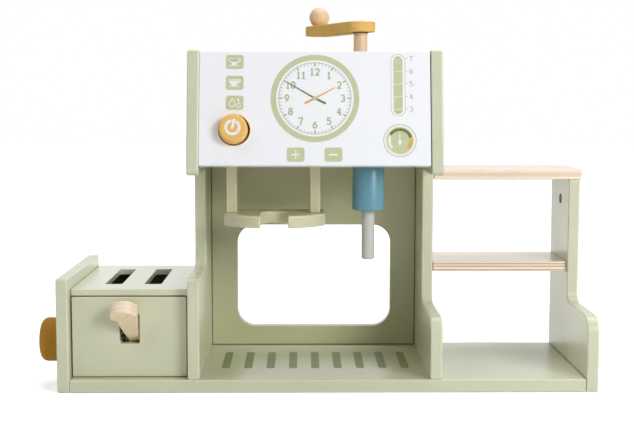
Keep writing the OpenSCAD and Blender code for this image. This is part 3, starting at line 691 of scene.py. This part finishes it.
class Print:
    """Flat ink shapes on a face, as thin closed plates, in millimetres across and up. place gives the
    point of the face in metres. A higher level lies on a lower one."""

    def __init__(self, place, base=0.03, thick=0.06):
        self.place, self.base, self.thick = place, base, thick
        self.parts = {}

    def plate(self, mat, pts, level=0, inner=None):
        """One plate inside a loop of points, with a hole where an inner loop is given."""
        bm = self.parts.setdefault(mat.name, (mat, bmesh.new()))[1]
        top = self.base + self.thick * (level + 1)

        def points(loop, h):
            return [bm.verts.new(self.place(x / 1000, t / 1000, h / 1000)) for x, t in loop]

        if inner is None:
            under, over = points(pts, 0.0), points(pts, top)
            bm.faces.new(under[::-1])
            bm.faces.new(over)
            rings = [under, over]
        else:
            rings = [points(loop, h) for loop, h in ((pts, 0.0), (pts, top), (inner, top), (inner, 0.0))]
            rings.append(rings[0])
        for one, two in zip(rings, rings[1:]):
            for k in range(len(pts)):
                n = (k + 1) % len(pts)
                bm.faces.new((one[k], one[n], two[n], two[k]))

    def disc(self, mat, x, t, r, level=0, n=96):
        self.plate(mat, arc(x, t, r, 0, 360, n)[:-1], level)

    def ring(self, mat, x, t, r0, r1, level=0, n=128):
        self.plate(mat, arc(x, t, r1, 0, 360, n)[:-1], level, arc(x, t, r0, 0, 360, n)[:-1])

    def band(self, mat, x, t, r0, r1, a0, a1, level=0, n=24):
        self.plate(mat, arc(x, t, r1, a0, a1, n) + arc(x, t, r0, a1, a0, n), level)

    def box(self, mat, x, t, w, h, r, level=0):
        self.plate(mat, rounded(x, t, w, h, r), level)

    def outline(self, mat, x, t, w, h, r, line, level=0):
        self.plate(mat, rounded(x, t, w, h, r), level, rounded(x, t, w - 2 * line, h - 2 * line, r - line))

    def stroke(self, mat, x0, t0, x1, t1, w0, w1=None, level=0):
        """A straight line, round at both ends, w0 wide at its start and w1 at its end."""
        w1 = w0 if w1 is None else w1
        a = math.degrees(math.atan2(t1 - t0, x1 - x0))
        self.plate(mat, arc(x0, t0, w0 / 2, a + 90, a + 270) + arc(x1, t1, w1 / 2, a - 90, a + 90), level)

    def line(self, mat, pts, w, level=0):
        """A line of even width through points."""
        left, right = [], []
        for k, (x, t) in enumerate(pts):
            (ax, at), (bx, bt) = pts[max(k - 1, 0)], pts[min(k + 1, len(pts) - 1)]
            d = math.hypot(bx - ax, bt - at)
            nx, nt = -(bt - at) / d * w / 2, (bx - ax) / d * w / 2
            left.append((x + nx, t + nt))
            right.append((x - nx, t - nt))
        self.plate(mat, right + left[::-1], level)

    def number(self, mat, digits, x, t, height, w, level=0):
        """Plain numerals about a middle, drawn with lines of even width. Each next line of a numeral
        lies a little higher, so that no two top faces share a plane."""
        size = height - w
        gap = w + DIGIT_GAP * size
        halves = [(ONE_WIDE if d == "1" else DIGIT_WIDE) * size / 2 for d in digits]
        x -= sum(halves) + (len(digits) - 1) * gap / 2
        for d, half in zip(digits, halves):
            mx = x + half
            for k, (kind, pts) in enumerate(DIGITS[d]):
                lift = level + DIGIT_LIFT * k
                if kind == "line":
                    self.line(mat, [(mx + a * size, t + b * size) for a, b in pts], w, lift)
                else:
                    a, b, ra, rb = pts
                    turns = [2 * math.pi * i / RING_POINTS for i in range(RING_POINTS)]
                    loops = [[(mx + a * size + (ra * size + off) * math.cos(turn),
                               t + b * size + (rb * size + off) * math.sin(turn)) for turn in turns]
                             for off in (w / 2, -w / 2)]
                    self.plate(mat, loops[0], lift, loops[1])
            x += 2 * half + gap

    def finish(self, name, body):
        """Make one piece of each ink."""
        for key, (mat, bm) in self.parts.items():
            bmesh.ops.remove_doubles(bm, verts=bm.verts, dist=1e-7)
            bmesh.ops.recalc_face_normals(bm, faces=bm.faces)
            me = bpy.data.meshes.new(name)
            bm.to_mesh(me)
            bm.free()
            add(name + "_" + key, me, body, mat, smooth=False)


def rounded(x, t, w, h, r):
    """A rectangle with round corners about a middle."""
    hw, hh = w / 2 - r, h / 2 - r
    return (arc(x + hw, t + hh, r, 0, 90) + arc(x - hw, t + hh, r, 90, 180)
            + arc(x - hw, t - hh, r, 180, 270) + arc(x + hw, t - hh, r, 270, 360))


# Numerals of height 1 about their middle. A ring is given by its middle and its two half widths
DIGIT_WIDE, ONE_WIDE, DIGIT_GAP = 0.62, 0.46, 0.08
DIGIT_LIFT, RING_POINTS = 0.12, 40
DIGITS = {
    "0": [("ring", (0, 0, 0.28, 0.50))],
    "1": [("line", [(-0.17, 0.30), (-0.06, 0.38), (0.03, 0.50)]),
          ("line", [(0.03, 0.59), (0.03, -0.5)]),
          ("line", [(-0.18, -0.5), (0.24, -0.5)])],
    "2": [("line", arc(0, 0.21, 0.28, 165, -20, 12) + [(0.16, -0.06), (-0.20, -0.42)]),
          ("line", [(-0.31, -0.5), (0.31, -0.5)])],
    "3": [("line", arc(-0.03, 0.25, 0.25, 150, -85, 14)),
          ("line", arc(-0.03, -0.23, 0.28, 85, -155, 14))],
    "4": [("line", [(0.12, 0.5), (0.12, -0.5)]),
          ("line", [(0.08, 0.50), (-0.28, -0.18)]),
          ("line", [(-0.33, -0.2), (0.33, -0.2)]),
          ("line", [(-0.02, -0.5), (0.28, -0.5)])],
    "5": [("line", [(-0.27, 0.5), (0.25, 0.5)]),
          ("line", [(-0.19, 0.5), (-0.23, 0.02)]),
          ("line", arc(-0.02, -0.18, 0.31, 138, -150, 16))],
    "6": [("ring", (0, -0.2, 0.28, 0.30)),
          ("line", [(0.17, 0.5), (-0.03, 0.34), (-0.18, 0.12), (-0.27, -0.15)])],
    "7": [("line", [(-0.30, 0.5), (0.33, 0.5)]),
          ("line", [(0.27, 0.48), (0.08, 0.08), (-0.06, -0.56)]),
          ("line", [(-0.27, 0.5), (-0.27, 0.30)])],
    "8": [("ring", (0, 0.26, 0.23, 0.24)),
          ("ring", (0, -0.22, 0.28, 0.28))],
    "9": [("ring", (0, 0.2, 0.28, 0.30)),
          ("line", [(-0.17, -0.5), (0.03, -0.34), (0.18, -0.12), (0.27, 0.15)])],
}


# The printed sheet is a touch smaller than its drawing, and lies a little left and up from it
SHEET_SCALE, SHEET_LEFT, SHEET_UP = 0.99625, 0.000087, 0.000214


def on_sheet(x, t, h):
    return on_panel(x * SHEET_SCALE - SHEET_LEFT, t * SHEET_SCALE + SHEET_UP, h)


sheet = Print(on_sheet)

# Clock: a broad and a fine ring, 60 marks, the hours and two hands
CLOCK_X, CLOCK_T = CLOCK = -11.5, 57.0
HOUR_MARK, MINUTE_MARK = (26.9, 29.5, 1.4), (27.7, 29.5, 0.5)
HOURS_X, HOURS_T, HOUR_HIGH, HOUR_LINE = 23.2, 22.2, 6.6, 1.2
sheet.ring(INK_SAGE, *CLOCK, 32.1, 36.7)
sheet.ring(INK_DIGIT, *CLOCK, 29.65, 30.2)
for k in range(60):
    turn = math.radians(6 * k)
    is_hour = k % 5 == 0
    r0, r1, wide = HOUR_MARK if is_hour else MINUTE_MARK
    s, c = math.sin(turn), math.cos(turn)
    u, v = c * wide / 2, -s * wide / 2
    sheet.plate(INK_DIGIT if is_hour else INK_FINE,
                [(CLOCK_X + r * s + side * u, CLOCK_T + r * c + side * v)
                 for r, side in ((r0, -1), (r0, 1), (r1, 1), (r1, -1))])
for hour in range(1, 13):
    turn = math.radians(30 * hour)
    sheet.number(INK_DIGIT, str(hour), CLOCK_X + HOURS_X * math.sin(turn),
                 CLOCK_T + HOURS_T * math.cos(turn), HOUR_HIGH, HOUR_LINE)


TAIL_WIDE, BLADE_WIDE = (1.84, 1.5525), (1.3225, 0.805)


def hand(mat, tail, tip, level):
    """A printed hand: a thick tail behind the hub and a thin blade before it."""
    sheet.stroke(mat, *tail, *CLOCK, *TAIL_WIDE, level)
    sheet.stroke(mat, *CLOCK, *tip, *BLADE_WIDE, level)


hand(INK_ORANGE, (-19.31, 53.05), (4.87, 65.78), 1)
hand(INK_GREEN, (-3.19, 52.9), (-33.37, 69.69), 2)
sheet.disc(INK_DOT, *CLOCK, 1.75, 3, 40)

# Plus and minus signs
SIGN = (14.6, 11.8, 2.2)
PLUS_X, MINUS_X, PLUS_T = -27.4, 3.7, 9.85
for x, wide in ((PLUS_X, 1.15), (MINUS_X, 1.4)):
    sheet.box(INK_SAGE, x, PLUS_T, *SIGN)
    sheet.stroke(INK_WHITE, x - 3.2, PLUS_T, x + 3.2, PLUS_T, wide, level=1)
    if x == PLUS_X:
        sheet.stroke(INK_WHITE, x, PLUS_T - 3.25, x, PLUS_T + 3.25, wide, level=1)


def cup(cx, ct, full):
    """A wide bowl that narrows to its foot, a handle on its right and a saucer line."""
    sheet.box(INK_SAGE, cx, ct, *SIGN)

    def shape(mat, pts, level):
        sheet.plate(mat, [(cx + x, ct + t) for x, t in pts], level)

    def line(x0, t0, x1, t1, wide):
        sheet.stroke(INK_WHITE, cx + x0, ct + t0, cx + x1, ct + t1, wide, level=1)

    rim = 2.9 if full else 2.0
    side = [(4.3, rim), (3.7, rim - 1.2), (2.9, rim - 2.5), (1.9, rim - 3.7), (1.3, rim - 4.4),
            (1.25, -2.7)]
    shape(INK_WHITE, [(-1.0 - x, t) for x, t in side] + side[::-1], 1)
    if full:
        shape(INK_FINE, [(-4.2, 2.35), (-3.6, 1.0), (-3.1, 0.35), (2.1, 0.35), (2.6, 1.0), (3.2, 2.35)], 2)
    else:
        line(-5.1, 2.9, 4.1, 2.9, 0.6)
    line(3.4, 2.6, 5.0, 2.2, 0.6)
    line(5.0, 2.2, 4.2, 0.5, 0.6)
    line(4.2, 0.5, 2.3, -0.6, 0.6)
    line(-4.5, -3.05, 3.6, -3.05, 0.5)


cup(-77.9, 87.5, True)
cup(-77.9, 69.9, False)


# The height of a drop's tip over its middle, in radii
DROP_TIP = 1.9


def drop(cx, ct, r, line=0.0):
    """A drop of radius r, drawn as an outline with a glint where a line width is given."""
    open_half = math.degrees(math.acos(1 / DROP_TIP))
    shape = arc(0, 0, 1, 90 + open_half, 450 - open_half, 28) + [(0, DROP_TIP)]
    sheet.plate(INK_WHITE, [(cx + x * r, ct + t * r) for x, t in shape], 1)
    if line:
        inside = r - line
        glint = arc(cx, ct, inside * 0.72, 150, 235) + arc(cx, ct, inside * 0.45, 235, 150)
        sheet.plate(INK_SAGE, [(cx + x * inside, ct + t * inside) for x, t in shape], 2)
        sheet.plate(INK_FINE, glint, 3)


sheet.box(INK_SAGE, -77.8, 53.2, *SIGN)
drop(-79.8, 52.2, 2.85, 0.75)
drop(-74.6, 50.7, 1.85, 0.65)
drop(-74.8, 55.3, 0.85)

# Level scale: an outlined bar with darker ends, slanting lines across it, ticks and numbers
LEVEL_X, LEVEL_T, LEVEL_SIDE = 57.45, 68.2, 3.8
sheet.outline(INK_FINE, LEVEL_X, LEVEL_T, 12.0, 52.4, 5.9, 0.4)
sheet.box(INK_SAGE, LEVEL_X, LEVEL_T, 2 * LEVEL_SIDE, 48.6, 3.7)
sheet.plate(INK_CAP, arc(LEVEL_X, LEVEL_T + 20.6, 3.5, 12, 168, 14), 1)
sheet.plate(INK_CAP, arc(LEVEL_X, LEVEL_T - 20.6, 3.5, 192, 348, 14), 1)
for t, digit in ((90.0, "7"), (79.4, "6"), (68.7, "5"), (58.1, "4"), (47.3, "3")):
    left, right = LEVEL_X - LEVEL_SIDE, LEVEL_X + LEVEL_SIDE
    sheet.plate(INK_CREAM, [(left, t - 0.5), (right, t + 0.3), (right, t + 0.9), (left, t + 0.1)], 2)
    sheet.stroke(INK_FINE, 63.7, t + 0.75, 65.4, t + 0.75, 0.4)
    sheet.number(INK_FINE, digit, 68.3, t + 0.6, 4.5, 0.62)

# Gauge: a round dial with three coloured bands and a needle that ends in a lozenge
GAUGE = 58.6, 21.6
NEEDLE_X, NEEDLE_T = 58.5, 21.6
LOZENGE = ((0, -4.5), (0.9, -2.6), (1.6, -1.4), (1.0, -0.2),
           (0, 1.6), (-1.0, -0.2), (-1.6, -1.4), (-0.9, -2.6))
sheet.ring(INK_DIGIT, *GAUGE, 13.15, 13.7)
sheet.disc(INK_SAGE, *GAUGE, 12.2)
sheet.ring(INK_CREAM, *GAUGE, 11.1, 12.2, 1)
sheet.band(INK_WHITE, *GAUGE, 7.8, 9.8, 156, 224, 2)
sheet.band(INK_GREEN, *GAUGE, 8.1, 10.4, 16, 146, 2)
sheet.band(INK_ORANGE, *GAUGE, 7.9, 10.4, -42, 9, 2)
sheet.stroke(INK_WHITE, NEEDLE_X, NEEDLE_T - 0.5, NEEDLE_X, NEEDLE_T + 6.9, 0.9, 0.4, 2)
sheet.plate(INK_WHITE, [(NEEDLE_X + x, NEEDLE_T + t) for x, t in LOZENGE], 3)
sheet.finish("hood_print", "body")

# Power sign on the button's face, turned a little with the button: an open ring and a bar
SIGN_TURN = math.radians(-10)
SIGN_X, SIGN_T = BUTTON_X - 0.0002, BUTTON_T + 0.0005


def on_button(x, t, h):
    c, s = math.cos(SIGN_TURN), math.sin(SIGN_TURN)
    return on_panel(SIGN_X + x * c - t * s, SIGN_T + x * s + t * c, BUTTON_PROUD + h)


RING_R, RING_HALF, RING_FROM, RING_TO = 5.5, 1.15, 120, 420
power = Print(on_button)
start, end = arc(0, 0, RING_R, RING_FROM, RING_TO, 1)
power.plate(INK_WHITE, arc(0, 0, RING_R + RING_HALF, RING_FROM, RING_TO, 60)
            + arc(*end, RING_HALF, RING_TO, RING_TO + 180, 12)[1:-1]
            + arc(0, 0, RING_R - RING_HALF, RING_TO, RING_FROM, 60)
            + arc(*start, RING_HALF, RING_FROM + 180, RING_FROM + 360, 12)[1:-1])
power.stroke(INK_WHITE, 0, -0.4, 0, 6.2, 2.2)
power.finish("button_print", "power_button")

# Drip slots printed on the base. DRIP_BACK is how far their middles lie behind the board's front
DRIPS, DRIP_LEFT, DRIP_PITCH, DRIP_BACK = 9, -88.3, 19.45, 74.3
DRIP_WIDE, DRIP_LONG, DRIP_ROUND = 7.2, 64.2, 3.5
low, high = middle("base_board")[1:]
FRONT_Y, BASE_TOP = low.y, high.z
drips = Print(lambda x, t, h: Vector((x, t + FRONT_Y, BASE_TOP + h)), 0.02, 0.05)
for k in range(DRIPS):
    drips.box(INK_DRIP, DRIP_LEFT + k * DRIP_PITCH, DRIP_BACK, DRIP_WIDE, DRIP_LONG, DRIP_ROUND)
drips.finish("drip_print", "body")


# ---------------------------------------------------------------- stage

def seen(tree):
    """1 for what the camera sees, straight, mirrored or through glass, and 0 for light that bounces."""
    rays = tree.nodes.new("ShaderNodeLightPath").outputs
    value = rays["Is Camera Ray"]
    for kind in ("Is Glossy Ray", "Is Transmission Ray"):
        n = tree.nodes.new("ShaderNodeMath")
        n.operation = "MAXIMUM"
        tree.links.new(value, n.inputs[0])
        tree.links.new(rays[kind], n.inputs[1])
        value = n.outputs[0]
    return value


# A pale floor that glows to the camera, less near the object, where its shadow stays
me = bpy.data.meshes.new("floor")
me.from_pydata([(-4, -3, 0), (4, -3, 0), (4, 5, 0), (-4, 5, 0)], [], [(0, 1, 2, 3)])
floor = bpy.data.objects.new("floor", me)
scene.collection.objects.link(floor)
pale = Mat("floor", 0.9, 0.1)
pale.colour(pale.ramp(pale.noise(pale.coord, 3, 2), [(0.3, 0.84), (0.7, 0.87)]))
glow = pale.node("ShaderNodeEmission")
away = pale.node("ShaderNodeVectorMath", operation="LENGTH")
pale.set(away, "Vector", pale.coord)
reach = pale.ramp(pale.math("DIVIDE", away.outputs["Value"], 2.0), [(0.10, 0.55), (0.5, 1.0)])
pale.set(glow, "Strength", pale.math("MULTIPLY", seen(pale.t), reach))
both = pale.node("ShaderNodeAddShader")
pale.put(both.inputs[0], pale.p.outputs[0])
pale.put(both.inputs[1], glow.outputs[0])
pale.set(pale.out, "Surface", both.outputs[0])
me.materials.append(pale.m)

# A dim cool world for the light, white where it is seen
world = bpy.data.worlds.new("studio")
scene.world = world
world.use_nodes = True
tree = world.node_tree
dim = tree.nodes["Background"]
white = tree.nodes.new("ShaderNodeBackground")
mixer = tree.nodes.new("ShaderNodeMixShader")
for shader, colour, strength in ((dim, (0.95, 0.97, 1.0, 1), 0.06), (white, (1, 1, 1, 1), 1.0)):
    shader.inputs["Color"].default_value = colour
    shader.inputs["Strength"].default_value = strength
for value, socket in zip((seen(tree), dim.outputs[0], white.outputs[0]), mixer.inputs):
    tree.links.new(value, socket)
tree.links.new(mixer.outputs[0], tree.nodes["World Output"].inputs["Surface"])


def lamp(name, place, aim, size, watts, tint):
    light = bpy.data.lights.new(name, "AREA")
    light.shape = "RECTANGLE"
    light.size, light.size_y = size
    light.energy = watts
    light.color = tint
    ob = bpy.data.objects.new(name, light)
    scene.collection.objects.link(ob)
    ob.location = place
    ob.rotation_euler = (Vector(aim) - Vector(place)).to_track_quat("-Z", "Y").to_euler()


lamp("key", (1.15, -1.34, 0.82), (0, 0, 0.12), (0.8, 0.8), 22.4, (1, 0.99, 0.982))
lamp("left", (-1.25, -0.85, 1.45), (0, 0, 0.16), (0.9, 0.9), 8.5, (1, 0.965, 0.9))
lamp("top", (0.1, 0.35, 1.8), (0, 0, 0.1), (1.5, 0.9), 18, (0.97, 0.985, 1))

# ---------------------------------------------------------------- camera

# Fitted to the photo, which is 634 pixels wide: focal length, place, and yaw, pitch and roll in degrees
FOCAL_PIXELS, WIDE_PIXELS, SENSOR = 1167.5, 634, 36
EYE_PLACE, EYE_TURNS = (-0.0232, -1.0251, 0.2440), (0.80, 5.52, 0.08)
yaw, pitch, roll = (math.radians(v) for v in EYE_TURNS)
forward = Vector((math.sin(yaw) * math.cos(pitch), math.cos(yaw) * math.cos(pitch), -math.sin(pitch)))
level_right = Vector((math.cos(yaw), -math.sin(yaw), 0))
level_up = level_right.cross(forward)
cam_right = level_right * math.cos(roll) + level_up * math.sin(roll)
cam_up = level_up * math.cos(roll) - level_right * math.sin(roll)
cam = bpy.data.cameras.new("camera")
cam.sensor_width = SENSOR
cam.lens = FOCAL_PIXELS / WIDE_PIXELS * SENSOR
eye = bpy.data.objects.new("camera", cam)
scene.collection.objects.link(eye)
stand = Matrix((cam_right, cam_up, -forward)).transposed().to_4x4()
stand.translation = EYE_PLACE
eye.matrix_world = stand
scene.camera = eye
scene.view_settings.view_transform = "Standard"
